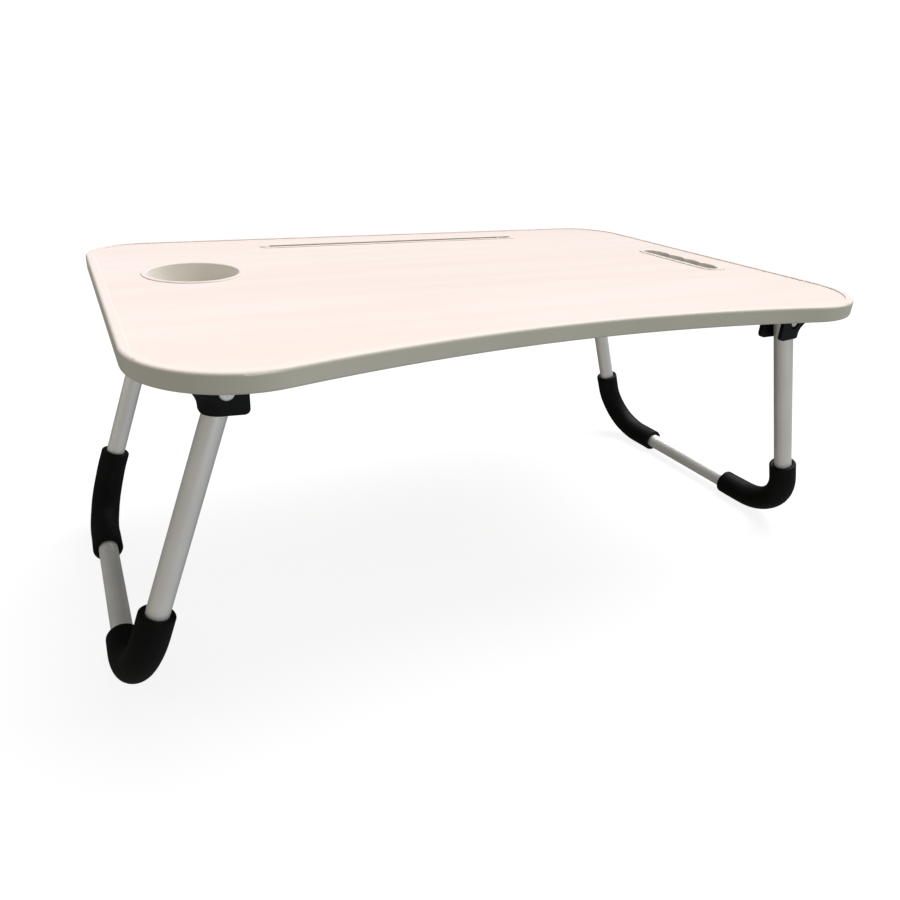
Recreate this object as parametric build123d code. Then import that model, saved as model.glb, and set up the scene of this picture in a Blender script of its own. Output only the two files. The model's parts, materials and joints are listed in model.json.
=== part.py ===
"""Folding tray table: a thin board top on two U-shaped tube legs that fold flat under it.

Frame: millimetres, +Z up, origin on the floor under the middle of the top.
+X runs along the top's long side, -Y is the user's side with the inward-curved front edge.
The legs are drawn open, leaning outward on their stops.
"""

import os
from math import atan2, cos, degrees, radians, tan

from build123d import *

# Overall sizes
TOP_LENGTH = 600.0
TOP_DEPTH = 400.0
TABLE_HEIGHT = 255.0

# Plan outline of the top
BACK_CORNER_R = 54.5
FRONT_CORNER_R = 67.7
FRONT_SWEEP_DEPTH = 24.9

# Edge band: a U-channel round the board
BAND_HEIGHT = 13.0
BAND_WALL = 2.0
BAND_LIP_WIDTH = 6.5
BAND_LIP_THICKNESS = 0.8
BAND_TOP_ROUND = 2.4
BAND_BOTTOM_ROUND = 1.6
BAND_SEAM = 0.4
EDGE_BREAK = 0.3
FIT_GAP = 0.1

# Board layers
LAMINATE = 0.5
FLANGE_THICKNESS = 0.8

# Cup holder
CUP_X = -224.3
CUP_Y = 54.5
CUP_R = 36.1
CUP_WALL = 1.8
CUP_DEPTH = 20.0
CUP_FLANGE_R = 40.4
CUP_RIM_ROUND = 1.2
CUP_FLOOR_ROUND = 4.0

# Carrying handle cut-out near the right edge
HANDLE_INNER_X = 244.0
HANDLE_CREST_X = 258.0
HANDLE_SCALLOP_DEPTH = 3.6
HANDLE_SCALLOPS = 4
HANDLE_SCALLOP_PITCH = 21.5
HANDLE_Y = -5.0
HANDLE_END_REACH = 6.0
HANDLE_WALL = 1.8
HANDLE_FLANGE = 5.6
HANDLE_RIM_ROUND = 1.0

# Tablet slot along the back
SLOT_X = 4.0
SLOT_Y = 153.5
SLOT_LENGTH = 280.0
SLOT_WIDTH = 8.0
SLOT_DEPTH = 9.6
SLOT_WALL = 1.4
SLOT_FLANGE = 4.5
SLOT_END_FLANGE = 7.0
SLOT_RIB_X = 129.0
SLOT_RIB_WIDTH = 1.6
SLOT_RIM_ROUND = 0.8
SLOT_BOSS_OUTER_R = 2.5
SLOT_BOSS_INNER_R = 1.5
SLOT_BOSS_DEPTH = 0.4

# Legs
LEG_PIVOT_X = 245.0
LEG_PIVOT_DROP = 26.5
LEG_CENTRE_Y = -8.6
LEG_HALF_SPACING = 137.45
LEG_SPLAY = 19.2
TUBE_R = 8.0
TUBE_WALL = 1.2
TUBE_BEND_R = 51.0
TUBE_TOP = 4.8
TUBE_PIN_HOLE_R = 3.4
SLEEVE_R = 12.5
SLEEVE_BORE_R = 8.1
SLEEVE_END_ROUND = 1.5

# How far each sleeve runs past its bend: up the upright, then along the floor bar
SLEEVE_REACH = {
    "left_front": (17.0, 17.0),
    "left_rear": (12.0, 28.0),
    "right_front": (17.0, 28.0),
    "right_rear": (17.0, 28.0),
}

# Tube end plugs
PLUG_DEPTH = 14.0
PLUG_HEAD = 2.4
PLUG_HEAD_ROUND = 2.3
PLUG_BORE_R = 3.05

# Hinge brackets, sizes from the pivot axis
CHEEK_GAP = 8.5
CHEEK_THICKNESS = 3.6
CHEEK_INNER_EDGE = 13.4
CHEEK_DROP = 15.5
CHEEK_OUTER_DROP = 13.8
CHEEK_INNER_CORNER_R = 3.5
CHEEK_OUTER_CORNER_R = 2.0
LONG_CHEEK_DROP = 18.0
LONG_CHEEK_END = 9.0
LONG_CHEEK_CORNER_R = 5.0
ROUND_END_X = 3.6
FLARE_R = 16.0
FLARE_DROP = 11.0
POCKET_R = 10.3
PLATE_THICKNESS = 3.0
PLATE_INNER = 34.0
PLATE_HALF_WIDTH = 24.0
PLATE_CORNER_R = 5.0
SNAP_FACE = 8.3
SNAP_WIDTH = 3.2
SNAP_TOP_DROP = 6.5
SNAP_INSET = 0.9
RECESS_R = 5.4
RECESS_DEPTH = 1.2

# Hinge pins
PIN_R = 3.0
PIN_SEAT_R = 3.02
PIN_HEAD_R = 5.1
PIN_HEAD = 2.2
PIN_HEAD_ROUND = 1.3
PIN_TAIL_R = 3.4
PIN_TAIL = 1.0
PIN_TAIL_ROUND = 0.6

# Bracket screws
SCREW_R = 1.75
SCREW_HEAD_R = 3.4
SCREW_HEAD = 1.6
SCREW_LENGTH = 11.0
SCREW_HEAD_ROUND = 0.8
SCREW_CROSS_WIDTH = 0.9
SCREW_CROSS_DEPTH = 0.9
SCREW_SPOTS = [(-28.0, -11.0), (-28.0, 11.0), (1.0, -19.0), (1.0, 19.0)]

# Heights worked out from the sizes above
BAND_BOTTOM_Z = TABLE_HEIGHT - BAND_HEIGHT
BOARD_TOP_Z = TABLE_HEIGHT - BAND_LIP_THICKNESS
BOARD_BOTTOM_Z = BAND_BOTTOM_Z + BAND_LIP_THICKNESS
BOARD_THICKNESS = BOARD_TOP_Z - BOARD_BOTTOM_Z
FLANGE_TOP_Z = BOARD_TOP_Z + FLANGE_THICKNESS
PIVOT_Z = TABLE_HEIGHT - LEG_PIVOT_DROP
PLATE_TOP = BOARD_BOTTOM_Z - PIVOT_Z
PLATE_UNDERSIDE = PLATE_TOP - PLATE_THICKNESS
LEG_LENGTH = (PIVOT_Z - SLEEVE_R) / cos(radians(LEG_SPLAY))
BRACKET_HALF = CHEEK_GAP + CHEEK_THICKNESS

SIDES = {"left": -1, "right": 1}
ENDS = {"front": -1, "rear": 1}


def save(part, node):
    """Write one sub-part to its own file."""
    export_step(part, f"parts/{node}.step")


def arc(centre_x, centre_y, radius, start, end):
    """Arc about a centre from one angle to another, in degrees."""
    return CenterArc((centre_x, centre_y), radius, start, end - start)


def top_outline(inset):
    """Plan outline of the top, drawn this far inside its finished edge."""
    side_x = TOP_LENGTH / 2 - inset
    back_y = TOP_DEPTH / 2 - inset
    back_cx = TOP_LENGTH / 2 - BACK_CORNER_R
    back_cy = TOP_DEPTH / 2 - BACK_CORNER_R
    front_cx = TOP_LENGTH / 2 - FRONT_CORNER_R
    front_cy = FRONT_CORNER_R - TOP_DEPTH / 2
    sweep_r = (front_cx**2 + FRONT_SWEEP_DEPTH**2) / (2 * FRONT_SWEEP_DEPTH) - FRONT_CORNER_R
    sweep_cy = FRONT_SWEEP_DEPTH - TOP_DEPTH / 2 - sweep_r
    lean = degrees(atan2(front_cx, front_cy - sweep_cy))
    back_r = BACK_CORNER_R - inset
    front_r = FRONT_CORNER_R - inset
    edges = [
        Line((-back_cx, back_y), (back_cx, back_y)),
        arc(back_cx, back_cy, back_r, 90, 0),
        Line((side_x, back_cy), (side_x, front_cy)),
        arc(front_cx, front_cy, front_r, 0, -90 - lean),
        arc(0, sweep_cy, sweep_r + inset, 90 - lean, 90 + lean),
        arc(-front_cx, front_cy, front_r, lean - 90, -180),
        Line((-side_x, front_cy), (-side_x, back_cy)),
        arc(-back_cx, back_cy, back_r, 180, 90),
    ]
    return make_face(edges)


def slot_outline(x, y, length, width):
    """Round-ended slot along X."""
    return Pos(x, y) * SlotOverall(length, width)


def handle_outline():
    """Handle cut-out: straight inner side, finger scallops along the outer side."""
    span = HANDLE_SCALLOPS * HANDLE_SCALLOP_PITCH
    low_y = HANDLE_Y - span / 2
    high_y = HANDLE_Y + span / 2
    deep_x = HANDLE_CREST_X + HANDLE_SCALLOP_DEPTH
    middle_x = (HANDLE_INNER_X + HANDLE_CREST_X) / 2
    edges = []
    for i in range(HANDLE_SCALLOPS):
        start_y = low_y + i * HANDLE_SCALLOP_PITCH
        middle_y = start_y + HANDLE_SCALLOP_PITCH / 2
        end_y = start_y + HANDLE_SCALLOP_PITCH
        scallop = ThreePointArc((HANDLE_CREST_X, start_y), (deep_x, middle_y), (HANDLE_CREST_X, end_y))
        edges.append(scallop)
    for end_y, reach in ((high_y, HANDLE_END_REACH), (low_y, -HANDLE_END_REACH)):
        cap = ThreePointArc((HANDLE_CREST_X, end_y), (middle_x, end_y + reach), (HANDLE_INNER_X, end_y))
        edges.append(cap)
    edges.append(Line((HANDLE_INNER_X, high_y), (HANDLE_INNER_X, low_y)))
    return make_face(edges)


def handle_slot(margin):
    """Round-ended opening that encloses the handle outline with a margin."""
    low_x = HANDLE_INNER_X - margin
    high_x = HANDLE_CREST_X + HANDLE_SCALLOP_DEPTH + margin
    span = HANDLE_SCALLOPS * HANDLE_SCALLOP_PITCH + 2 * (HANDLE_END_REACH + margin)
    place = Pos((low_x + high_x) / 2, HANDLE_Y)
    return place * Rot(0, 0, 90) * SlotOverall(span, high_x - low_x)


def at_height(shape, z):
    """The shape lifted to a height."""
    return Pos(0, 0, z) * shape


def top_edges(part):
    """Edges of a solid that lie in its highest plane."""
    return part.edges().group_by(Axis.Z)[-1]


def bottom_edges(part):
    """Edges of a solid that lie in its lowest plane."""
    return part.edges().group_by(Axis.Z)[0]


def inner_rim(part, boundary):
    """Edges of the highest plane that lie inside a boundary face."""
    edges = top_edges(part)
    return [e for e in edges if boundary.is_inside(Vector((e @ 0.5).X, (e @ 0.5).Y, 0))]


def board_layer(bottom_z, thickness):
    """One layer of the board, with the openings for the three inserts."""
    layer = extrude(top_outline(BAND_WALL + FIT_GAP), thickness)
    layer -= Pos(CUP_X, CUP_Y) * extrude(Circle(CUP_R + CUP_WALL + FIT_GAP), thickness)
    layer -= extrude(handle_slot(HANDLE_WALL + FIT_GAP), thickness)
    slot_length = SLOT_LENGTH + 2 * (SLOT_WALL + FIT_GAP)
    slot_width = SLOT_WIDTH + 2 * (SLOT_WALL + FIT_GAP)
    layer -= extrude(slot_outline(SLOT_X, SLOT_Y, slot_length, slot_width), thickness)
    return at_height(layer, bottom_z)


def edge_band():
    """U-channel band round the board, with its ends meeting at the back."""
    band = extrude(top_outline(0), BAND_HEIGHT)
    band = fillet(top_edges(band), BAND_TOP_ROUND)
    band = fillet(bottom_edges(band), BAND_BOTTOM_ROUND)
    band -= extrude(top_outline(BAND_LIP_WIDTH), BAND_HEIGHT)
    band = fillet(inner_rim(band, top_outline(BAND_LIP_WIDTH - EDGE_BREAK)), EDGE_BREAK)
    band -= at_height(extrude(top_outline(BAND_WALL), BOARD_THICKNESS), BAND_LIP_THICKNESS)
    seam = Pos(0, TOP_DEPTH / 2, BAND_HEIGHT / 2) * Box(BAND_SEAM, 3 * BAND_LIP_WIDTH, 2 * BAND_HEIGHT)
    band -= seam
    return at_height(band, BAND_BOTTOM_Z)


def cup_insert():
    """Cup holder: a shallow round cup hanging from a flange."""
    hanging = (Align.CENTER, Align.CENTER, Align.MAX)
    body = Cylinder(CUP_R + CUP_WALL, CUP_DEPTH + CUP_WALL, align=hanging)
    body = fillet(bottom_edges(body), CUP_FLOOR_ROUND)
    flange = Cylinder(CUP_FLANGE_R, FLANGE_THICKNESS, align=(Align.CENTER, Align.CENTER, Align.MIN))
    flange = fillet(top_edges(flange), FLANGE_THICKNESS - EDGE_BREAK)
    depth = CUP_DEPTH + FLANGE_THICKNESS
    hollow = Cylinder(CUP_R, depth, align=hanging)
    hollow = fillet(bottom_edges(hollow), CUP_FLOOR_ROUND)
    cup = body + flange - at_height(hollow, FLANGE_THICKNESS)
    rim = top_edges(cup).sort_by(SortBy.RADIUS)[0]
    cup = fillet(rim, CUP_RIM_ROUND)
    return Pos(CUP_X, CUP_Y, BOARD_TOP_Z) * cup


def handle_insert():
    """Liner of the handle cut-out, with a flange on the top face."""
    flange = extrude(handle_slot(HANDLE_FLANGE), FLANGE_THICKNESS)
    flange = fillet(top_edges(flange), FLANGE_THICKNESS - EDGE_BREAK)
    liner = at_height(extrude(handle_slot(HANDLE_WALL), BOARD_THICKNESS), -BOARD_THICKNESS)
    insert = flange + liner
    opening = at_height(extrude(handle_outline(), BOARD_THICKNESS + FLANGE_THICKNESS), -BOARD_THICKNESS)
    opening = fillet(opening.edges().filter_by(Axis.Z), EDGE_BREAK)
    insert -= opening
    insert = fillet(inner_rim(insert, handle_slot(HANDLE_WALL)), HANDLE_RIM_ROUND)
    return at_height(insert, BOARD_TOP_Z)


def slot_insert():
    """Tablet slot: a narrow trough with a flange, a cross rib and a round end mark."""
    flange_length = SLOT_LENGTH + 2 * SLOT_END_FLANGE
    flange_width = SLOT_WIDTH + 2 * SLOT_FLANGE
    flange = extrude(slot_outline(SLOT_X, SLOT_Y, flange_length, flange_width), FLANGE_THICKNESS)
    flange = fillet(top_edges(flange), FLANGE_THICKNESS - EDGE_BREAK)
    shell_depth = SLOT_DEPTH + SLOT_WALL
    shell_length = SLOT_LENGTH + 2 * SLOT_WALL
    shell_width = SLOT_WIDTH + 2 * SLOT_WALL
    shell = extrude(slot_outline(SLOT_X, SLOT_Y, shell_length, shell_width), shell_depth)
    trough_depth = SLOT_DEPTH + FLANGE_THICKNESS
    trough = extrude(slot_outline(SLOT_X, SLOT_Y, SLOT_LENGTH, SLOT_WIDTH), trough_depth)
    insert = flange + at_height(shell, -shell_depth) - at_height(trough, -SLOT_DEPTH)
    rim_zone = slot_outline(SLOT_X, SLOT_Y, SLOT_LENGTH + SLOT_WALL, SLOT_WIDTH + SLOT_WALL)
    insert = fillet(inner_rim(insert, rim_zone), SLOT_RIM_ROUND)
    rib = Box(
        SLOT_RIB_WIDTH,
        SLOT_WIDTH + SLOT_WALL,
        SLOT_DEPTH + FLANGE_THICKNESS / 2,
        align=(Align.CENTER, Align.CENTER, Align.MIN),
    )
    insert += Pos(SLOT_RIB_X, SLOT_Y, -SLOT_DEPTH) * rib
    mark = extrude(Circle(SLOT_BOSS_OUTER_R) - Circle(SLOT_BOSS_INNER_R), SLOT_BOSS_DEPTH)
    mark_x = SLOT_X - SLOT_LENGTH / 2 - SLOT_END_FLANGE / 2
    insert -= Pos(mark_x, SLOT_Y, FLANGE_THICKNESS - SLOT_BOSS_DEPTH) * mark
    return at_height(insert, BOARD_TOP_Z)


def along_y(face, low_y, high_y):
    """Face drawn as (outward, up) and extruded between two stations on the hinge axis."""
    solid = extrude(Plane.XZ * face, -(high_y - low_y))
    return Pos(0, low_y, 0) * solid


def disc_along_y(radius, low_y, high_y):
    """Cylinder about the hinge axis."""
    return along_y(Circle(radius), low_y, high_y)


def bracket_envelope():
    """Outer shape of a bracket: flat-sided, with a half-round outer end that flares to the plate."""
    low = -2 * LONG_CHEEK_DROP
    flare_top = FLARE_R - FLARE_DROP
    wide = BRACKET_HALF + FLARE_R
    profile = make_face(
        [
            Line((0, PLATE_TOP), (0, low)),
            Line((0, low), (BRACKET_HALF, low)),
            Line((BRACKET_HALF, low), (BRACKET_HALF, -FLARE_DROP)),
            arc(wide, -FLARE_DROP, FLARE_R, 180, 90),
            Line((wide, flare_top), (wide, PLATE_TOP)),
            Line((wide, PLATE_TOP), (0, PLATE_TOP)),
        ]
    )
    round_end = Pos(ROUND_END_X, 0, 0) * revolve(Plane.XZ * profile, Axis.Z)
    straight = Pos(ROUND_END_X, 0, PLATE_TOP) * Box(
        CHEEK_INNER_EDGE + ROUND_END_X,
        2 * BRACKET_HALF,
        PLATE_TOP - low,
        align=(Align.MAX, Align.CENTER, Align.MAX),
    )
    return round_end + straight


def short_side_face():
    """Side profile of the bracket body, with its lower edge rising outward."""
    outer = ROUND_END_X + BRACKET_HALF
    reach = outer + FLARE_R
    edges = Polyline(
        (-CHEEK_INNER_EDGE, PLATE_TOP),
        (-CHEEK_INNER_EDGE, -CHEEK_DROP),
        (outer, -CHEEK_OUTER_DROP),
        (outer, -FLARE_DROP),
        (reach, -FLARE_DROP),
        (reach, PLATE_TOP),
        close=True,
    )
    face = make_face(edges)
    low_inner, low_outer = face.vertices().sort_by(Axis.Y)[:2]
    face = fillet(low_inner, CHEEK_INNER_CORNER_R)
    low_outer = face.vertices().sort_by_distance(low_outer)[0]
    return fillet(low_outer, CHEEK_OUTER_CORNER_R)


def long_side_face():
    """Side profile of the longer cheek, with both lower corners rounded."""
    edges = Polyline(
        (-CHEEK_INNER_EDGE, 0),
        (-CHEEK_INNER_EDGE, -LONG_CHEEK_DROP),
        (LONG_CHEEK_END, -LONG_CHEEK_DROP),
        (LONG_CHEEK_END, 0),
        close=True,
    )
    face = make_face(edges)
    return fillet(face.vertices().group_by(Axis.Y)[0], LONG_CHEEK_CORNER_R)


def leg_room():
    """Space that the leg's upper end and upright take up over the whole fold."""
    low = -2 * LONG_CHEEK_DROP
    edges = Polyline(
        (-PLATE_INNER, PLATE_UNDERSIDE),
        (POCKET_R, PLATE_UNDERSIDE),
        (POCKET_R, 0),
        (0, 0),
        (-low * tan(radians(LEG_SPLAY)), low),
        (-PLATE_INNER, low),
        close=True,
    )
    room = along_y(make_face(edges), -CHEEK_GAP, CHEEK_GAP)
    room += disc_along_y(POCKET_R, -CHEEK_GAP, CHEEK_GAP)
    open_leg = Cylinder(CHEEK_GAP, LEG_LENGTH, align=(Align.CENTER, Align.CENTER, Align.MAX))
    return room + Rot(0, -LEG_SPLAY, 0) * open_leg


def snap_rib(facing):
    """Low rib on the inner lower corner of one cheek."""
    depth = CHEEK_GAP - SNAP_FACE + EDGE_BREAK
    low_drop = CHEEK_DROP - CHEEK_INNER_CORNER_R
    rib = Box(SNAP_WIDTH, depth, low_drop - SNAP_TOP_DROP)
    inward = 0 if facing > 0 else -1
    rib = chamfer(rib.edges().filter_by(Axis.Z).group_by(Axis.Y)[inward], depth - EDGE_BREAK)
    x = -CHEEK_INNER_EDGE + SNAP_INSET + SNAP_WIDTH / 2
    z = -(SNAP_TOP_DROP + low_drop) / 2
    return Pos(x, facing * (SNAP_FACE + depth / 2), z) * rib


def hinge_bracket():
    """Clevis bracket about its pivot: +X outward, -Y the short cheek, +Y the long cheek."""
    body = along_y(short_side_face(), -BRACKET_HALF, BRACKET_HALF)
    body += along_y(long_side_face(), CHEEK_GAP, BRACKET_HALF)
    bracket = (body & bracket_envelope()) - leg_room()
    reach = PLATE_INNER + ROUND_END_X + BRACKET_HALF + FLARE_R
    plate = RectangleRounded(reach, 2 * PLATE_HALF_WIDTH, PLATE_CORNER_R)
    plate = Pos(reach / 2 - PLATE_INNER, 0, PLATE_UNDERSIDE) * extrude(plate, PLATE_THICKNESS)
    bracket += plate
    for facing in (-1, 1):
        bracket += snap_rib(facing)
        low_y, high_y = sorted((facing * (BRACKET_HALF - RECESS_DEPTH), facing * (BRACKET_HALF + 1)))
        bracket -= disc_along_y(RECESS_R, low_y, high_y)
    bracket -= disc_along_y(PIN_SEAT_R, -2 * BRACKET_HALF, 2 * BRACKET_HALF)
    for x, y in SCREW_SPOTS:
        hole = Cylinder(SCREW_R + FIT_GAP, 2 * PLATE_THICKNESS)
        bracket -= Pos(x, y, PLATE_UNDERSIDE + PLATE_THICKNESS / 2) * hole
    return bracket


def hinge_pin():
    """Headed pin about the pivot: head at -Y, peened tail at +Y, both seated in the cheek recesses."""
    seat = BRACKET_HALF - RECESS_DEPTH
    head = disc_along_y(PIN_HEAD_R, -seat - PIN_HEAD, -seat)
    head = fillet(head.edges().group_by(Axis.Y)[0], PIN_HEAD_ROUND)
    tail = disc_along_y(PIN_TAIL_R, seat, seat + PIN_TAIL)
    tail = fillet(tail.edges().group_by(Axis.Y)[-1], PIN_TAIL_ROUND)
    return head + disc_along_y(PIN_R, -seat, seat) + tail


def bracket_screws():
    """The screws of one bracket, heads under its plate, about the bracket's pivot."""
    head = Cylinder(SCREW_HEAD_R, SCREW_HEAD, align=(Align.CENTER, Align.CENTER, Align.MAX))
    head = fillet(bottom_edges(head), SCREW_HEAD_ROUND)
    shank = Cylinder(SCREW_R, SCREW_LENGTH, align=(Align.CENTER, Align.CENTER, Align.MIN))
    screw = head + shank
    for turn in (0, 90):
        slot = Box(SCREW_HEAD_R, SCREW_CROSS_WIDTH, 2 * SCREW_CROSS_DEPTH)
        screw -= Pos(0, 0, -SCREW_HEAD) * Rot(0, 0, turn) * slot
    return [Pos(x, y, PLATE_UNDERSIDE) * screw for x, y in SCREW_SPOTS]


def hinge_place(side, end):
    """Place of one hinge: outward is toward the table's side."""
    y = LEG_CENTRE_Y + end * LEG_HALF_SPACING
    return Pos(side * LEG_PIVOT_X, y, PIVOT_Z)


def handed(part, side, end):
    """The part turned or mirrored from its drawn hand, outward +X and near cheek -Y, to one corner."""
    if end > 0:
        part = mirror(part, Plane.XZ)
    if side < 0:
        part = mirror(part, Plane.YZ)
    return part


def leg_place(side):
    """Place of a leg drawn hanging straight down from its pivot axis, turned to its open splay."""
    return Pos(side * LEG_PIVOT_X, LEG_CENTRE_Y, PIVOT_Z) * Rot(0, -side * LEG_SPLAY, 0)


def leg_path():
    """Centreline of a leg: upright, bend, floor bar, bend, upright."""
    points = [
        (0, -LEG_HALF_SPACING, TUBE_TOP),
        (0, -LEG_HALF_SPACING, -LEG_LENGTH),
        (0, LEG_HALF_SPACING, -LEG_LENGTH),
        (0, LEG_HALF_SPACING, TUBE_TOP),
    ]
    return FilletPolyline(points, radius=TUBE_BEND_R)


def round_sweep(path, radius):
    """Round bar along a path."""
    return sweep(Plane(origin=path @ 0, z_dir=path % 0) * Circle(radius), path=path)


def leg_tube():
    """Bent tube of one leg with the pin holes through its uprights."""
    path = leg_path()
    tube = round_sweep(path, TUBE_R) - round_sweep(path, TUBE_R - TUBE_WALL)
    reach = LEG_HALF_SPACING + 2 * TUBE_R
    for end in ENDS.values():
        low_y, high_y = sorted((end * reach, end * (reach - 4 * TUBE_R)))
        tube -= disc_along_y(TUBE_PIN_HOLE_R, low_y, high_y)
    return tube


def tube_plug(end):
    """Plastic plug in the tube's upper end, which bears on the hinge pin."""
    body_r = TUBE_R - TUBE_WALL - FIT_GAP / 2
    body = Cylinder(body_r, PLUG_DEPTH, align=(Align.CENTER, Align.CENTER, Align.MAX))
    head = Cylinder(TUBE_R, PLUG_HEAD, align=(Align.CENTER, Align.CENTER, Align.MIN))
    head = fillet(top_edges(head), PLUG_HEAD_ROUND)
    plug = at_height(body + head, TUBE_TOP) - disc_along_y(PLUG_BORE_R, -2 * TUBE_R, 2 * TUBE_R)
    return Pos(0, end * LEG_HALF_SPACING, 0) * plug


def sleeve_path(corner, end):
    """Centreline of one foam sleeve: a short upright run, the bend and a run along the floor bar."""
    on_upright, on_bar = SLEEVE_REACH[corner]
    bar_y = end * (LEG_HALF_SPACING - TUBE_BEND_R - on_bar)
    upright_z = -LEG_LENGTH + TUBE_BEND_R + on_upright
    y = end * LEG_HALF_SPACING
    points = [(0, y, upright_z), (0, y, -LEG_LENGTH), (0, bar_y, -LEG_LENGTH)]
    return FilletPolyline(points, radius=TUBE_BEND_R)


def foam_sleeve(corner, end):
    """Foam sleeve round one lower bend of a leg."""
    path = sleeve_path(corner, end)
    sleeve = round_sweep(path, SLEEVE_R)
    rings = sleeve.edges().filter_by(GeomType.CIRCLE)
    end_rings = [e for e in rings if abs(e.radius - SLEEVE_R) < EDGE_BREAK and is_end_ring(e, path)]
    sleeve = fillet(end_rings, SLEEVE_END_ROUND)
    return sleeve - round_sweep(path, SLEEVE_BORE_R)


def is_end_ring(edge, path):
    """True for a circle centred on either end of the path."""
    centre = edge.arc_center
    return min((centre - (path @ 0)).length, (centre - (path @ 1)).length) < EDGE_BREAK


def pilot_holes():
    """Holes that the bracket screws make in the underside of the board."""
    hole = Cylinder(SCREW_R, SCREW_LENGTH + FIT_GAP, align=(Align.CENTER, Align.CENTER, Align.MIN))
    drilled = []
    for side, end in CORNERS.values():
        for x, y in SCREW_SPOTS:
            spot = handed(Pos(x, y, PLATE_UNDERSIDE) * hole, side, end)
            drilled.append(hinge_place(side, end) * spot)
    return drilled


CORNERS = {f"{s}_{e}": (side, end) for s, side in SIDES.items() for e, end in ENDS.items()}

os.makedirs("parts", exist_ok=True)

holes = pilot_holes()
core_z = BOARD_BOTTOM_Z + LAMINATE
save(board_layer(BOARD_BOTTOM_Z, LAMINATE) - holes, "bottom_laminate")
save(board_layer(core_z, BOARD_THICKNESS - 2 * LAMINATE) - holes, "board_core")
save(board_layer(BOARD_TOP_Z - LAMINATE, LAMINATE), "top_laminate")
save(edge_band(), "edge_band")
save(cup_insert(), "cup_holder_insert")
save(handle_insert(), "handle_insert")
save(slot_insert(), "tablet_slot_insert")

screws = []
for corner, (side, end) in CORNERS.items():
    place = hinge_place(side, end)
    save(place * handed(hinge_bracket(), side, end), f"{corner}_hinge_bracket")
    pin = hinge_pin() if side < 0 else mirror(hinge_pin(), Plane.XZ)
    save(place * pin, f"{corner}_hinge_pin")
    screws += [place * handed(screw, side, end) for screw in bracket_screws()]
    save(leg_place(side) * tube_plug(end), f"{corner}_tube_plug")
    save(leg_place(side) * foam_sleeve(corner, end), f"{corner}_foam_sleeve")
save(Compound(children=screws), "bracket_screws")
for name, side in SIDES.items():
    save(leg_place(side) * leg_tube(), f"{name}_leg_tube")
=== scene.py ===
"""Looks of the folding tray table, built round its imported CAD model."""

import json
import math

import bpy
import numpy as np
from mathutils import Matrix, Vector


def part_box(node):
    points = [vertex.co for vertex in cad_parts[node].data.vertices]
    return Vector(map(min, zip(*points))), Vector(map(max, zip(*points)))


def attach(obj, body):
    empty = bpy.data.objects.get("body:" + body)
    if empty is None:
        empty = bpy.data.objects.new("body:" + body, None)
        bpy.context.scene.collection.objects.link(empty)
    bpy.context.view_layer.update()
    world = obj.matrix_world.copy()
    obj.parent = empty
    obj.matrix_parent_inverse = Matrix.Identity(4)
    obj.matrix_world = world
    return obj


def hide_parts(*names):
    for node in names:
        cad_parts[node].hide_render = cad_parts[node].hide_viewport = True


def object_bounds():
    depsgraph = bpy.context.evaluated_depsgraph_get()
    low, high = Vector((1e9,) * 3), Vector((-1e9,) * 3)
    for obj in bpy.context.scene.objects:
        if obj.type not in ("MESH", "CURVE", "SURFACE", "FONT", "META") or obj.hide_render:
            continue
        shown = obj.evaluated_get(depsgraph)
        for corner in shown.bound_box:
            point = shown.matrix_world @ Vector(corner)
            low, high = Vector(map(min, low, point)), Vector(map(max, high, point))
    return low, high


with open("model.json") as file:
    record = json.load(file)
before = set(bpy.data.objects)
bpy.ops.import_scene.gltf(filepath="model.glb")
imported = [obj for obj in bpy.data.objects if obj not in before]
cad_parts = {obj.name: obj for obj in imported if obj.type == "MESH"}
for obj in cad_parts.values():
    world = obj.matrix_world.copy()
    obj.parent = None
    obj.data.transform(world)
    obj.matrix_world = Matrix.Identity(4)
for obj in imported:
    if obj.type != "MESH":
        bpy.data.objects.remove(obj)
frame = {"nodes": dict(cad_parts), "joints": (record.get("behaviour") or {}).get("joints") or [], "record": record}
cad_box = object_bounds()

# Camera in the row frame: metres and radians, with the lens and sensor in millimetres
CAMERA_PLACE = (-0.3217, -0.5639, 0.3870)
CAMERA_YAW = 0.4826
CAMERA_PITCH = 0.4258
CAMERA_ROLL = 0.0481
CAMERA_LENS = 28.97
CAMERA_SENSOR = 36.0
CAMERA_SHIFT = (0.0222, -0.0167)

# Sun: the direction it comes from, its strength and its width in degrees
OVERHEAD_LIGHT = {"toward": (0.55, 0.22, 1.0), "strength": 4.65, "width": 48}

# Light panels, in metres and watts, and whether glossy surfaces mirror them
FRONT_LIGHT = {"place": (0.10, -1.05, 0.30), "aim": (0.0, 0.0, 0.12),
               "power": 1.6, "size": 0.7, "mirrored": True}
LEFT_LIGHT = {"place": (-1.00, 0.30, 0.27), "aim": (-0.3, 0.10, 0.24),
              "power": 2.0, "size": 0.5, "mirrored": False}

# Surroundings: their colour where seen, and the light they throw from the left, right and back
WORLD_SEEN = (1.0, 1.0, 1.0)
WORLD_LEFT = (0.36, 0.338, 0.295)
WORLD_RIGHT = (0.40, 0.42, 0.44)
WORLD_BACK = (0.10, 0.10, 0.09)

# Floor: its radius in metres and the strength of its glow
FLOOR_RADIUS = 40
FLOOR_GLOW = 0.88

# Tube legs and their foam sleeves, in metres
TUBE_R = 0.008
TUBE_BEND_R = 0.051
SLEEVE_R = 0.0125
SLEEVE_SKIN_R = 0.0124
SLEEVE_BORE_R = 0.0082
SLEEVE_END_ROUND = 0.0016
SLEEVE_END_STEPS = 6
SLEEVE_RINGS = 220
SLEEVE_BORE_RINGS = 60
SLEEVE_SEGMENTS = 112

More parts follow.
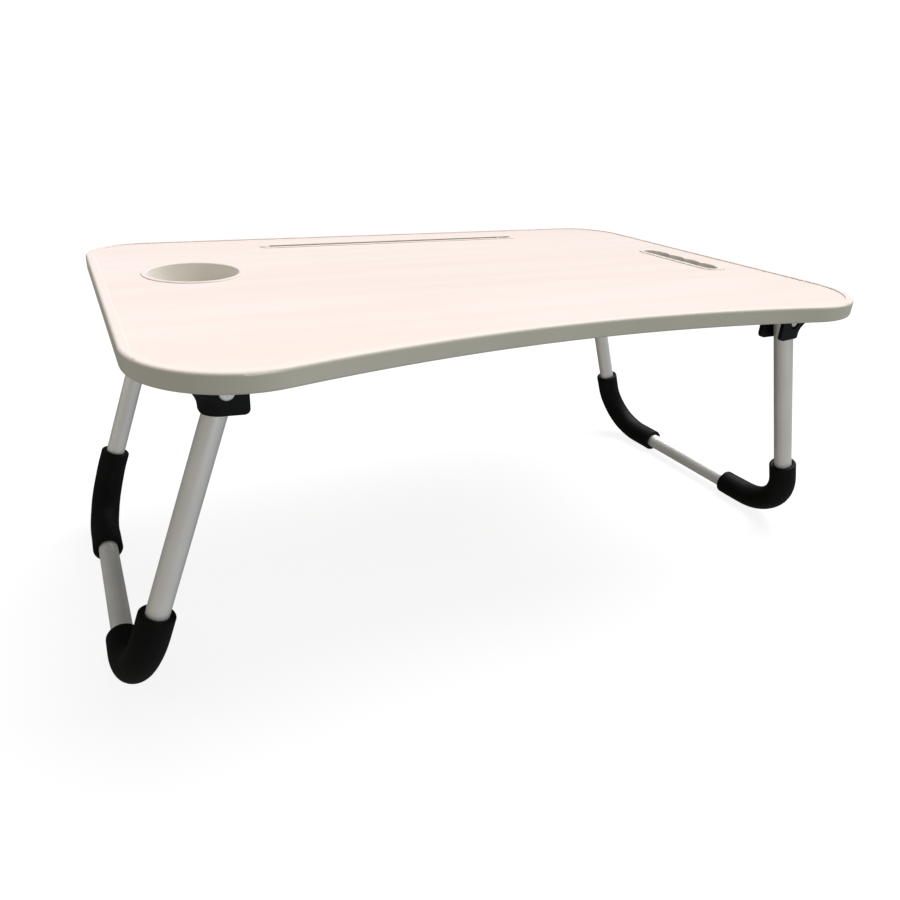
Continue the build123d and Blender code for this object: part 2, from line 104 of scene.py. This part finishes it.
# Foam round the bend, in metres: its bulge inside and thinning outside, which fade to nothing
# at a share of the arc to either side of the middle, then its creases and lumps
FOAM_BULGE = 0.00030
FOAM_THINNING = 0.00020
FOAM_FADE_SHARE = 0.62
CREASE_DEPTH = 0.00010
CREASE_SPACING = 0.0074
CREASE_WAVER = 0.9
LONG_LUMP_HEIGHT = 0.00010
LONG_LUMPS_PER_METRE = 74
SHORT_LUMP_HEIGHT = 0.00006
SHORT_LUMPS_PER_METRE = 190
FOAM_SEED = 11

# Bore mouths of a sleeve: depth from its end, and widening there
SLEEVE_MOUTH = [(0.0, 0.0007), (0.0008, 0.0003), (0.004, 0.0)]
SLEEVE_MOUTH_END = 0.008

# Pale plastics: a painted highlight, a cream tint that lightens their upper faces as if lit from above, and the
# depth over which it fades out
PAINTED_TOP_LIGHT = (0.680, 0.605, 0.572)
PAINTED_TOP_LIGHT_DEPTH = 0.0014
PALE_PLASTIC = {"grain": 1800.0, "gloss": 0.06, "painted_top_light": PAINTED_TOP_LIGHT}

# Darkest and lightest shade of each material with a cloudy tone, in linear RGB
BAND_SHADES = [(0.520, 0.515, 0.448), (0.548, 0.543, 0.474)]
INSERT_SHADES = [(0.670, 0.645, 0.590), (0.705, 0.677, 0.622)]
# Painted shade: the tablet slot's insert gets darker tones than the other inserts, standing in for the shade in
# its trough
SLOT_PAINTED_SHADE_TONES = [(0.480, 0.440, 0.385), (0.510, 0.470, 0.415)]
BLACK_SHADES = [(0.0052, 0.0062, 0.0068), (0.0070, 0.0082, 0.0090)]
FOAM_SHADES = [(0.0030, 0.0031, 0.0032), (0.0046, 0.0047, 0.0049)]
TUBE_SHADES = [(0.83, 0.825, 0.810), (0.88, 0.875, 0.860)]
PIN_SHADES = [(0.60, 0.61, 0.62), (0.78, 0.79, 0.80)]
SCREW_SHADES = [(0.50, 0.50, 0.50), (0.68, 0.68, 0.67)]
BACKING_SHADES = [(0.42, 0.375, 0.305), (0.47, 0.425, 0.355)]
FLOOR_SHADES = [(0.125, 0.125, 0.125), (0.135, 0.135, 0.135)]

# Tones of the maple print, in linear RGB
MAPLE_TONES = [(0.665, 0.580, 0.548), (0.680, 0.600, 0.576), (0.690, 0.616, 0.596)]
MAPLE_RING = (0.640, 0.555, 0.500)
MAPLE_STREAK = (0.600, 0.520, 0.468)
MAPLE_PORE = (0.530, 0.450, 0.395)
MAPLE_WARM = (0.680, 0.592, 0.538)


# ---------------------------------------------------------------- node helpers

class Nodes:
    """A node tree with short calls to add and link nodes."""

    def __init__(self, tree):
        self.tree = tree

    def node(self, kind, **settings):
        """Add a node and set its properties."""
        made = self.tree.nodes.new(kind)
        for key, value in settings.items():
            setattr(made, key, value)
        return made

    def link(self, source, target):
        """Link an output to an input socket."""
        self.tree.links.new(source, target)

    def coords(self, scale=(1, 1, 1)):
        """Object coordinates, scaled."""
        place = self.node("ShaderNodeTexCoord")
        mapping = self.node("ShaderNodeMapping")
        mapping.inputs["Scale"].default_value = scale
        self.link(place.outputs["Object"], mapping.inputs["Vector"])
        return mapping.outputs["Vector"]

    def noise(self, vector, scale, detail=3.0, roughness=0.5, distortion=0.0):
        """Noise texture factor."""
        made = self.node("ShaderNodeTexNoise")
        made.inputs["Scale"].default_value = scale
        made.inputs["Detail"].default_value = detail
        made.inputs["Roughness"].default_value = roughness
        made.inputs["Distortion"].default_value = distortion
        self.link(vector, made.inputs["Vector"])
        return made.outputs["Fac"]

    def spread(self, value, low, high, to_low, to_high):
        """Map a value range to another one."""
        made = self.node("ShaderNodeMapRange")
        self.link(value, made.inputs["Value"])
        sockets = ("From Min", "From Max", "To Min", "To Max")
        for key, number in zip(sockets, (low, high, to_low, to_high)):
            made.inputs[key].default_value = number
        return made.outputs["Result"]

    def ramp(self, value, places, colours):
        """Colour ramp with a colour at each place."""
        made = self.node("ShaderNodeValToRGB")
        elements = made.color_ramp.elements
        while len(elements) < len(places):
            elements.new(0.5)
        for element, place, colour in zip(elements, places, colours):
            element.position = place
            element.color = (*colour, 1)
        self.link(value, made.inputs["Fac"])
        return made.outputs["Color"]

    def mix(self, factor, first, second):
        """Mix two colours; the factor is a socket, and a colour is a socket or a value."""
        made = self.node("ShaderNodeMix", data_type="RGBA")
        self.link(factor, made.inputs[0])
        for socket, value in zip((made.inputs[6], made.inputs[7]), (first, second)):
            if isinstance(value, bpy.types.NodeSocket):
                self.link(value, socket)
            else:
                socket.default_value = (*value, 1)
        return made.outputs[2]

    def add(self, first, second):
        """Sum of two values."""
        made = self.node("ShaderNodeMath", operation="ADD")
        self.link(first, made.inputs[0])
        self.link(second, made.inputs[1])
        return made.outputs[0]

    def bump(self, height, distance, strength, under=None):
        """Bump from a height, stacked on another bump if given."""
        made = self.node("ShaderNodeBump")
        made.inputs["Strength"].default_value = strength
        made.inputs["Distance"].default_value = distance
        self.link(height, made.inputs["Height"])
        if under is not None:
            self.link(under, made.inputs["Normal"])
        return made.outputs["Normal"]


class Shader(Nodes):
    """A principled material."""

    def __init__(self, name):
        self.material = bpy.data.materials.new(name)
        self.material.use_nodes = True
        super().__init__(self.material.node_tree)
        self.tree.nodes.clear()
        self.surface = self.node("ShaderNodeBsdfPrincipled")
        output = self.node("ShaderNodeOutputMaterial")
        self.link(self.surface.outputs[0], output.inputs["Surface"])

    def set(self, **values):
        """Set sockets of the principled shader by name, with _ for a space."""
        for key, value in values.items():
            self.surface.inputs[key.replace("_", " ")].default_value = value

    def finish(self, colour, roughness=None, normal=None):
        """Link the finished colour, roughness and normal."""
        for key, value in (("Base Color", colour), ("Roughness", roughness), ("Normal", normal)):
            if value is not None:
                self.link(value, self.surface.inputs[key])
        return self.material


# ---------------------------------------------------------------- materials

def laminate_material():
    """Pale maple print: long soft streaks and faint arches along X, with fine pores."""
    mat = Shader("maple_laminate")
    arches = mat.noise(mat.coords((0.9, 5.2, 1.0)), 2.2, 3.0, 0.45, 0.6)
    rings = mat.node("ShaderNodeTexWave", wave_type="BANDS", bands_direction="Y")
    rings.inputs["Scale"].default_value = 5.5
    rings.inputs["Distortion"].default_value = 9.0
    rings.inputs["Detail"].default_value = 2.5
    rings.inputs["Detail Scale"].default_value = 1.2
    mat.link(mat.coords((0.22, 1.6, 1.0)), rings.inputs["Vector"])
    streaks = mat.noise(mat.coords((2.6, 95.0, 1.0)), 1.6, 5.0, 0.62)
    pores = mat.noise(mat.coords((22.0, 900.0, 1.0)), 1.2, 2.0)
    broad = mat.noise(mat.coords((1.0, 1.4, 1.0)), 2.6, 1.0)
    colour = mat.ramp(arches, (0.32, 0.52, 0.72), MAPLE_TONES)
    colour = mat.mix(mat.spread(rings.outputs["Fac"], 0.35, 1.0, 0.0, 0.25), colour, MAPLE_RING)
    colour = mat.mix(mat.spread(streaks, 0.52, 0.80, 0.0, 0.22), colour, MAPLE_STREAK)
    colour = mat.mix(mat.spread(pores, 0.60, 0.78, 0.0, 0.18), colour, MAPLE_PORE)
    colour = mat.mix(mat.spread(broad, 0.35, 0.65, 0.0, 0.25), colour, MAPLE_WARM)
    roughness = mat.spread(streaks, 0.3, 0.8, 0.34, 0.46)
    grain = mat.bump(pores, 0.00004, 0.35, mat.bump(streaks, 0.00006, 0.35))
    mat.set(Specular_IOR_Level=0.03)
    return mat.finish(colour, roughness, grain)


def backing_material():
    """Balancing sheet under the board: plain kraft-coloured paper with a faint mottle."""
    mat = Shader("backing_sheet")
    mottle = mat.noise(mat.coords(), 60.0, 4.0, 0.6)
    fibres = mat.noise(mat.coords((30.0, 260.0, 1.0)), 2.0)
    colour = mat.ramp(mottle, (0.3, 0.7), BACKING_SHADES)
    colour = mat.mix(mat.spread(fibres, 0.5, 0.8, 0.0, 0.22), colour, (0.34, 0.295, 0.235))
    roughness = mat.spread(mottle, 0.3, 0.7, 0.50, 0.62)
    return mat.finish(colour, roughness, mat.bump(fibres, 0.00005, 0.4))


def fibreboard_material():
    """Pressed fibre core, seen only at the cut edges."""
    mat = Shader("fibreboard_core")
    fibres = mat.noise(mat.coords((1.0, 1.0, 2.5)), 900.0, 4.0, 0.7)
    tones = [(0.30, 0.20, 0.12), (0.42, 0.30, 0.19), (0.52, 0.39, 0.26)]
    colour = mat.ramp(fibres, (0.3, 0.55, 0.8), tones)
    roughness = mat.spread(fibres, 0.3, 0.7, 0.8, 0.95)
    return mat.finish(colour, roughness, mat.bump(fibres, 0.0002, 0.6))


def moulded_material(name, shades, roughness, grain, gloss, painted_top_light=None):
    """Moulded plastic: a fine grain, faint clouds and scuffs, and a painted highlight that lightens its upper
    faces near the top of the table.
    """
    mat = Shader(name)
    clouds = mat.noise(mat.coords(), 14.0, 2.0)
    texture = mat.noise(mat.coords(), grain, 2.0, 0.6)
    scuffs = mat.noise(mat.coords((1.0, 1.0, 4.0)), 140.0, 4.0, 0.65, 0.4)
    colour = mat.ramp(clouds, (0.35, 0.65), shades)
    # Painted light: near the top of the table the colour turns to a lighter tint, as if lit from above; lower
    # faces keep the darker tones
    if painted_top_light is not None:
        place = mat.node("ShaderNodeSeparateXYZ")
        mat.link(mat.coords(), place.inputs["Vector"])
        top = cad_box[1][2]
        painted_light_share = mat.spread(place.outputs["Z"], top - PAINTED_TOP_LIGHT_DEPTH, top - PAINTED_TOP_LIGHT_DEPTH / 2, 0.0, 1.0)
        colour = mat.mix(painted_light_share, colour, painted_top_light)
    grained = mat.spread(texture, 0.3, 0.7, roughness - 0.04, roughness + 0.04)
    scuffed = mat.add(grained, mat.spread(scuffs, 0.55, 0.8, 0.0, 0.08))
    mat.set(Specular_IOR_Level=gloss)
    return mat.finish(colour, scuffed, mat.bump(texture, 0.00003, 0.5))


def tube_material():
    """Satin anodised aluminium with faint drawing lines and handling marks."""
    mat = Shader("satin_aluminium")
    drawn = mat.noise(mat.coords((60.0, 60.0, 3.0)), 26.0, 4.0, 0.6)
    clouds = mat.noise(mat.coords(), 22.0, 3.0, 0.55)
    specks = mat.noise(mat.coords(), 3200.0, 1.0)
    colour = mat.ramp(clouds, (0.35, 0.65), TUBE_SHADES)
    lines = mat.spread(drawn, 0.3, 0.7, 0.36, 0.44)
    roughness = mat.add(lines, mat.spread(clouds, 0.4, 0.7, 0.0, 0.05))
    mat.set(Metallic=0.55, IOR=1.5)
    finish = mat.bump(specks, 0.00001, 0.25, mat.bump(drawn, 0.00002, 0.25))
    return mat.finish(colour, roughness, finish)


def steel_material(name, shades, roughness):
    """Plated steel of the pins and screws, with fine marks and specks."""
    mat = Shader(name)
    marks = mat.noise(mat.coords(), 900.0, 3.0, 0.6)
    colour = mat.ramp(marks, (0.3, 0.7), shades)
    marked = mat.spread(marks, 0.3, 0.7, roughness - 0.05, roughness + 0.07)
    mat.set(Metallic=1.0)
    return mat.finish(colour, marked, mat.bump(marks, 0.00003, 0.3))


def foam_material():
    """Black closed-cell foam with a soft skin."""
    mat = Shader("black_foam")
    cells = mat.noise(mat.coords(), 2400.0, 3.0, 0.6)
    lumps = mat.noise(mat.coords(), 260.0, 3.0, 0.55)
    clouds = mat.noise(mat.coords(), 30.0, 2.0)
    colour = mat.ramp(clouds, (0.3, 0.7), FOAM_SHADES)
    skin = mat.spread(cells, 0.3, 0.7, 0.50, 0.62)
    roughness = mat.add(skin, mat.spread(lumps, 0.4, 0.7, 0.0, 0.06))
    mat.set(Specular_IOR_Level=0.10)
    pitted = mat.bump(cells, 0.00006, 0.5, mat.bump(lumps, 0.0002, 0.25))
    return mat.finish(colour, roughness, pitted)


def floor_material():
    """Plain pale studio floor with a glow that keeps its shadows faint."""
    mat = Shader("studio_floor")
    clouds = mat.noise(mat.coords(), 1.5, 1.0)
    mat.set(Roughness=0.9, Specular_IOR_Level=0.1, Emission_Strength=FLOOR_GLOW)
    return mat.finish(mat.ramp(clouds, (0.0, 1.0), FLOOR_SHADES))


def paint_nodes(foam):
    """Give every CAD node its material."""
    black = moulded_material("black_plastic", BLACK_SHADES, 0.42, grain=2600.0, gloss=0.12)
    materials = {
        "top_laminate": laminate_material(),
        "bottom_laminate": backing_material(),
        "board_core": fibreboard_material(),
        "edge_band": moulded_material("band_plastic", BAND_SHADES, 0.42, **PALE_PLASTIC),
        "insert_plastic": moulded_material("insert_plastic", INSERT_SHADES, 0.38, **PALE_PLASTIC),
        "bracket_plastic": black,
        "plug_plastic": black,
        "pin_steel": steel_material("pin_steel", PIN_SHADES, 0.34),
        "screw_steel": steel_material("screw_steel", SCREW_SHADES, 0.32),
        "leg_aluminium": tube_material(),
        "foam": foam,
    }
    # The tablet slot's insert gets its own darker material: painted shade in its trough
    painted_shade_parts = {"tablet_slot_insert": moulded_material("slot_plastic_painted_shade", SLOT_PAINTED_SHADE_TONES, 0.50, **PALE_PLASTIC)}
    for part in frame["record"]["subparts"]:
        mesh = frame["nodes"][part["node"]].data
        mesh.materials.clear()
        mesh.materials.append(painted_shade_parts.get(part["node"], materials[part["material_slot"]]))


# ---------------------------------------------------------------- foam sleeves

class SleevePath:
    """Centreline of a sleeve: down the upright, round the bend, then along the floor bar."""

    def __init__(self, corner, up, inward, on_upright, on_bar):
        self.up = up
        self.inward = inward
        self.on_upright = on_upright
        self.arc = TUBE_BEND_R * math.pi / 2
        self.length = on_upright + self.arc + on_bar
        self.middle = on_upright + self.arc / 2
        self.bend_start = corner + up * TUBE_BEND_R
        self.bend_end = corner + inward * TUBE_BEND_R
        self.centre = self.bend_start + inward * TUBE_BEND_R

    def at(self, along):
        """Point and outward-of-bend direction at a distance from the upper end."""
        past_start = along - self.on_upright
        if past_start < 0:
            return self.bend_start - self.up * past_start, -self.inward
        if past_start < self.arc:
            angle = past_start / TUBE_BEND_R
            outward = -self.inward * math.cos(angle) - self.up * math.sin(angle)
            return self.centre + outward * TUBE_BEND_R, outward
        return self.bend_end + self.inward * (past_start - self.arc), -self.up


def leg_axes(side):
    """Corner points of a leg's centreline at the floor, and the direction up its uprights."""
    joint = next(j for j in frame["joints"] if j["child"] == f"{side}_leg")
    low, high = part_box(f"{side}_leg_tube")
    pivot = Vector(joint["pos_m"])
    bar_x = high.x - TUBE_R if pivot.x > 0 else low.x + TUBE_R
    bar_z = low.z + TUBE_R
    corners = {"front": Vector((bar_x, low.y + TUBE_R, bar_z)),
               "rear": Vector((bar_x, high.y - TUBE_R, bar_z))}
    up = Vector((pivot.x - bar_x, 0, pivot.z - bar_z)).normalized()
    return corners, up


def sleeve_path(node, corner, up, inward):
    """Centreline of a sleeve, as long as its CAD solid up the upright and along the floor bar."""
    low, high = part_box(node)
    rim = SLEEVE_R * math.hypot(up.x, up.y)
    on_upright = (high.z - rim - corner.z) / up.z - TUBE_BEND_R
    on_bar = (high.y - corner.y if inward.y > 0 else corner.y - low.y) - TUBE_BEND_R
    return SleevePath(corner, up, inward, on_upright, on_bar)


def outer_radii(path, along, angles, phases):
    """Outer radii round a sleeve, at angles from the outside of its bend."""
    near_end = min(along, path.length - along)
    bend = max(0.0, 1 - ((along - path.middle) / (path.arc * FOAM_FADE_SHARE)) ** 2)
    inner_side = np.clip(-np.cos(angles), 0, 1) ** 2
    outer_side = np.clip(np.cos(angles), 0, 1) ** 2
    swell = bend * (FOAM_BULGE * inner_side - FOAM_THINNING * outer_side)
    waver = CREASE_WAVER * np.sin(angles * 2 + phases[1])
    folds = 0.5 + 0.5 * np.sin(along * 2 * math.pi / CREASE_SPACING + phases[0] + waver)
    creases = CREASE_DEPTH * bend**2 * inner_side * folds**2
    lumps = LONG_LUMP_HEIGHT * np.sin(along * LONG_LUMPS_PER_METRE + phases[2] + 2 * angles)
    lumps += SHORT_LUMP_HEIGHT * np.sin(along * SHORT_LUMPS_PER_METRE + phases[3] - 3 * angles)
    rounding = 0.0
    if near_end < SLEEVE_END_ROUND:
        short = SLEEVE_END_ROUND - near_end
        rounding = SLEEVE_END_ROUND - math.sqrt(SLEEVE_END_ROUND**2 - short**2)
    return SLEEVE_SKIN_R + swell - creases + lumps - rounding


def sleeve_profile(path, angles, phases):
    """Distances along a sleeve with their radii: out over its skin, then back through its bore."""
    turns = np.linspace(0, math.pi / 2, SLEEVE_END_STEPS + 1)[:-1]
    ends = [SLEEVE_END_ROUND * (1 - math.cos(t)) for t in turns]
    evenly = [path.length * i / SLEEVE_RINGS for i in range(SLEEVE_RINGS + 1)]
    last = path.length - SLEEVE_END_ROUND
    stations = ends + [s for s in evenly if SLEEVE_END_ROUND <= s <= last]
    stations += [path.length - s for s in reversed(ends)]
    profile = [(s, outer_radii(path, s, angles, phases)) for s in stations]
    bore = [(path.length - depth, wider) for depth, wider in SLEEVE_MOUTH]
    inside = np.linspace(path.length - SLEEVE_MOUTH_END, SLEEVE_MOUTH_END, SLEEVE_BORE_RINGS)
    bore += [(s, 0.0) for s in inside]
    bore += [(depth, wider) for depth, wider in reversed(SLEEVE_MOUTH)]
    return profile + [(s, np.full(SLEEVE_SEGMENTS, SLEEVE_BORE_R + wider)) for s, wider in bore]


def sleeve_mesh(name, path, seed):
    """Foam tube round a lower bend, closed from ring to ring and kept above the floor."""
    phases = np.random.default_rng(seed).uniform(0, 2 * math.pi, 4)
    angles = np.linspace(0, 2 * math.pi, SLEEVE_SEGMENTS, endpoint=False)
    side = path.up.cross(path.inward).normalized()
    profile = sleeve_profile(path, angles, phases)
    vertices = []
    for along, radii in profile:
        point, outward = path.at(along)
        for angle, radius in zip(angles, radii):
            spoke = outward * math.cos(angle) + side * math.sin(angle)
            vertex = point + spoke * float(radius)
            vertices.append((vertex.x, vertex.y, max(vertex.z, 0.0)))
    faces = []
    for ring in range(len(profile)):
        this = ring * SLEEVE_SEGMENTS
        following = (ring + 1) % len(profile) * SLEEVE_SEGMENTS
        for k in range(SLEEVE_SEGMENTS):
            n = (k + 1) % SLEEVE_SEGMENTS
            faces.append((this + k, this + n, following + n, following + k))
    mesh = bpy.data.meshes.new(name)
    mesh.from_pydata(vertices, [], faces)
    mesh.update()
    for polygon in mesh.polygons:
        polygon.use_smooth = True
    sleeve = bpy.data.objects.new(name, mesh)
    bpy.context.scene.collection.objects.link(sleeve)
    return sleeve


def add_sleeves(foam):
    """The four foam sleeves, each in place of its plain CAD solid."""
    seed = FOAM_SEED
    for side in ("left", "right"):
        corners, up = leg_axes(side)
        for end, inward in (("front", Vector((0, 1, 0))), ("rear", Vector((0, -1, 0)))):
            node = f"{side}_{end}_foam_sleeve"
            sleeve = sleeve_mesh(f"{node}_skin", sleeve_path(node, corners[end], up, inward), seed)
            sleeve.data.materials.append(foam)
            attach(sleeve, f"{side}_leg")
            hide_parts(node)
            seed += 1


# ---------------------------------------------------------------- stage

def add_floor():
    """Wide plain floor that shows shadows but throws no light back on the table."""
    bpy.ops.mesh.primitive_circle_add(vertices=64, radius=FLOOR_RADIUS, fill_type="NGON")
    floor = bpy.context.object
    floor.name = "studio_floor"
    floor.data.materials.append(floor_material())
    floor.visible_diffuse = False
    floor.visible_glossy = False


def add_light(name, light):
    """Object that holds a light."""
    holder = bpy.data.objects.new(name, light)
    bpy.context.scene.collection.objects.link(holder)
    return holder


def add_sun(name, toward, strength, width):
    """Broad soft light from far away, from the direction given."""
    light = bpy.data.lights.new(name, "SUN")
    light.energy = strength
    light.angle = math.radians(width)
    add_light(name, light).rotation_euler = Vector(toward).to_track_quat("Z", "Y").to_euler()


def add_panel(name, place, aim, power, size, mirrored):
    """Square light panel close to the table, not seen itself."""
    light = bpy.data.lights.new(name, "AREA")
    light.energy = power
    light.size = size
    holder = add_light(name, light)
    holder.location = place
    holder.rotation_euler = (Vector(place) - Vector(aim)).to_track_quat("Z", "Y").to_euler()
    holder.visible_camera = False
    holder.visible_glossy = mirrored


def add_world():
    """Surroundings: white where seen, and dimmer at the left and back as a light."""
    world = bpy.data.worlds.new("studio")
    bpy.context.scene.world = world
    world.use_nodes = True
    nodes = Nodes(world.node_tree)
    toward = nodes.node("ShaderNodeSeparateXYZ")
    nodes.link(nodes.node("ShaderNodeTexCoord").outputs["Generated"], toward.inputs["Vector"])
    rightward = nodes.spread(toward.outputs["X"], -0.8, 0.8, 0.0, 1.0)
    backward = nodes.spread(toward.outputs["Y"], -0.3, 0.7, 0.0, 1.0)
    thrown = nodes.mix(backward, nodes.mix(rightward, WORLD_LEFT, WORLD_RIGHT), WORLD_BACK)
    seen = nodes.node("ShaderNodeLightPath").outputs["Is Camera Ray"]
    background = world.node_tree.nodes["Background"]
    nodes.link(nodes.mix(seen, thrown, WORLD_SEEN), background.inputs["Color"])


def add_camera():
    """Camera at the front left, looking down at the table."""
    data = bpy.data.cameras.new("camera")
    data.sensor_width = CAMERA_SENSOR
    data.lens = CAMERA_LENS
    data.shift_x, data.shift_y = CAMERA_SHIFT
    data.clip_end = 100
    camera = bpy.data.objects.new("camera", data)
    bpy.context.scene.collection.objects.link(camera)
    level = Matrix.Rotation(-CAMERA_YAW, 4, "Z") @ Matrix.Rotation(math.pi / 2 - CAMERA_PITCH, 4, "X")
    camera.matrix_world = Matrix.Translation(CAMERA_PLACE) @ level @ Matrix.Rotation(CAMERA_ROLL, 4, "Z")
    bpy.context.scene.camera = camera


# ---------------------------------------------------------------- assembly

foam = foam_material()
paint_nodes(foam)
add_sleeves(foam)
add_camera()
add_floor()
add_world()
add_sun("overhead_light", **OVERHEAD_LIGHT)
add_panel("front_light", **FRONT_LIGHT)
add_panel("left_light", **LEFT_LIGHT)
bpy.context.scene.view_settings.view_transform = "Standard"
